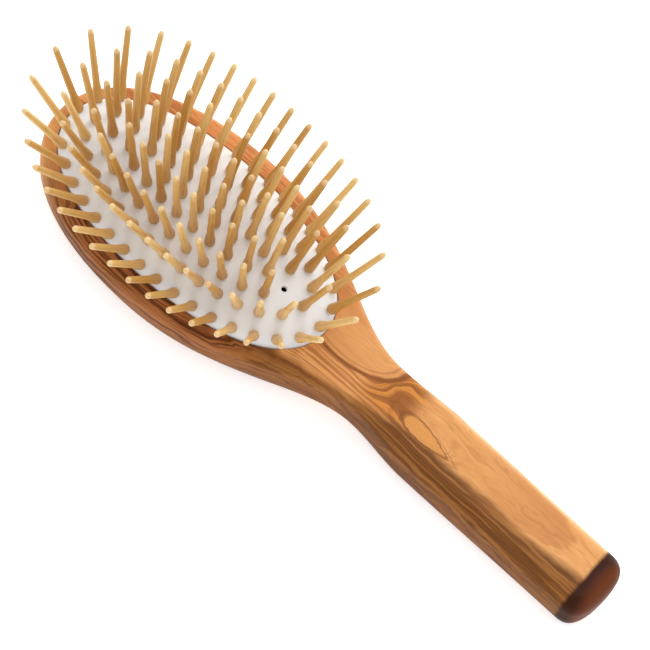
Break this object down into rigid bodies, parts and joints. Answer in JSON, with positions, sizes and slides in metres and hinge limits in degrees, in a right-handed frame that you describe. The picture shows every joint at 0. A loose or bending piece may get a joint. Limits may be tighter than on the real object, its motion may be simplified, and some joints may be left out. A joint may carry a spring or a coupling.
{
  "type": "vanity hairbrush",
  "caption": "Oval cushion hairbrush: one-piece olive wood head and handle, domed white rubber air cushion and rings of turned wooden pins that sink as the cushion is pressed.",
  "frame": {"origin": "middle of the base of the whole brush's box, with the brush lying on the flat of its back and its pins pointing up", "axes": "+X along the handle, from the head's tip to the handle's end; +Z the way the middle pins point; +Y across the head"},
  "size_m": [0.2306, 0.0775, 0.0483],
  "materials": {
    "olive_wood": "oiled olive wood, satin, with dark brown streaks",
    "natural_rubber": "matte off-white natural rubber",
    "pin_wood": "smooth turned pale hardwood, satin"
  },
  "bodies": {
    "handle_and_head": {"wooden_body": "olive_wood", "rubber_cushion": "natural_rubber"},
    "centre_row": {"centre_pin_1": "pin_wood", "centre_pin_2": "pin_wood", "centre_pin_3": "pin_wood", "centre_pin_4": "pin_wood", "centre_pin_5": "pin_wood"},
    "fourth_ring": {"fourth_ring_pin_01": "pin_wood", "fourth_ring_pin_02": "pin_wood", "fourth_ring_pin_03": "pin_wood", "fourth_ring_pin_04": "pin_wood", "fourth_ring_pin_05": "pin_wood", "fourth_ring_pin_06": "pin_wood", "fourth_ring_pin_07": "pin_wood", "fourth_ring_pin_08": "pin_wood", "fourth_ring_pin_09": "pin_wood", "fourth_ring_pin_10": "pin_wood", "fourth_ring_pin_11": "pin_wood", "fourth_ring_pin_12": "pin_wood", "fourth_ring_pin_13": "pin_wood", "fourth_ring_pin_14": "pin_wood", "fourth_ring_pin_15": "pin_wood", "fourth_ring_pin_16": "pin_wood", "fourth_ring_pin_17": "pin_wood", "fourth_ring_pin_18": "pin_wood"},
    "third_ring": {"third_ring_pin_01": "pin_wood", "third_ring_pin_02": "pin_wood", "third_ring_pin_03": "pin_wood", "third_ring_pin_04": "pin_wood", "third_ring_pin_05": "pin_wood", "third_ring_pin_06": "pin_wood", "third_ring_pin_07": "pin_wood", "third_ring_pin_08": "pin_wood", "third_ring_pin_09": "pin_wood", "third_ring_pin_10": "pin_wood", "third_ring_pin_11": "pin_wood", "third_ring_pin_12": "pin_wood", "third_ring_pin_13": "pin_wood", "third_ring_pin_14": "pin_wood", "third_ring_pin_15": "pin_wood", "third_ring_pin_16": "pin_wood", "third_ring_pin_17": "pin_wood", "third_ring_pin_18": "pin_wood", "third_ring_pin_19": "pin_wood", "third_ring_pin_20": "pin_wood", "third_ring_pin_21": "pin_wood", "third_ring_pin_22": "pin_wood", "third_ring_pin_23": "pin_wood"},
    "second_ring": {"second_ring_pins_01": "pin_wood", "second_ring_pins_02": "pin_wood", "second_ring_pins_03": "pin_wood", "second_ring_pins_04": "pin_wood", "second_ring_pins_05": "pin_wood", "second_ring_pins_06": "pin_wood"},
    "outer_ring": {"outer_pins_01": "pin_wood", "outer_pins_02": "pin_wood", "outer_pins_03": "pin_wood", "outer_pins_04": "pin_wood", "outer_pins_05": "pin_wood", "outer_pins_06": "pin_wood"}
  },
  "joints": [
    {"name": "cushion_press", "type": "slide", "parent": "handle_and_head", "child": "centre_row", "axis": [0, 0, -1], "range_m": [0, 0.004], "stiffness_N_per_m": 800, "deforming": ["rubber_cushion"]},
    {"name": "fourth_ring_press", "type": "slide", "parent": "handle_and_head", "child": "fourth_ring", "axis": [0, 0, -1], "range_m": [0, 0.0039]},
    {"name": "third_ring_press", "type": "slide", "parent": "handle_and_head", "child": "third_ring", "axis": [0, 0, -1], "range_m": [0, 0.0036]},
    {"name": "second_ring_press", "type": "slide", "parent": "handle_and_head", "child": "second_ring", "axis": [0, 0, -1], "range_m": [0, 0.003]},
    {"name": "outer_ring_press", "type": "slide", "parent": "handle_and_head", "child": "outer_ring", "axis": [0, 0, -1], "range_m": [0, 0.0017]}
  ],
  "couplings": [
    {"joint": "fourth_ring_press", "follows": "cushion_press", "ratio": 0.96},
    {"joint": "third_ring_press", "follows": "cushion_press", "ratio": 0.88},
    {"joint": "second_ring_press", "follows": "cushion_press", "ratio": 0.73},
    {"joint": "outer_ring_press", "follows": "cushion_press", "ratio": 0.4}
  ]
}
